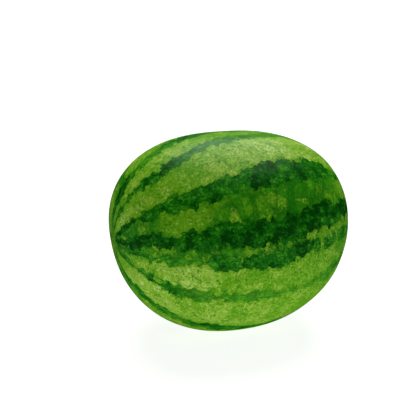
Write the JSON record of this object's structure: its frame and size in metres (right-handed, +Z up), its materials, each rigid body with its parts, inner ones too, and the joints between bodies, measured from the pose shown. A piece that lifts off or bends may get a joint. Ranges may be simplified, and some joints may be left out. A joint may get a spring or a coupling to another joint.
{
  "type": "watermelon",
  "caption": "Whole oval watermelon lying on its side: waxy green rind with jagged dark stripes from end to end, and a small flat spot underneath to rest on.",
  "frame": {"origin": "middle of the footprint, on the surface that the fruit rests on", "axes": "+X along the fruit's long axis towards its stem end, +Y across it, +Z up"},
  "size_m": [0.2798, 0.237, 0.233],
  "materials": {
    "rind": "satin"
  },
  "bodies": {
    "root": {"watermelon": "rind"}
  },
  "joints": []
}
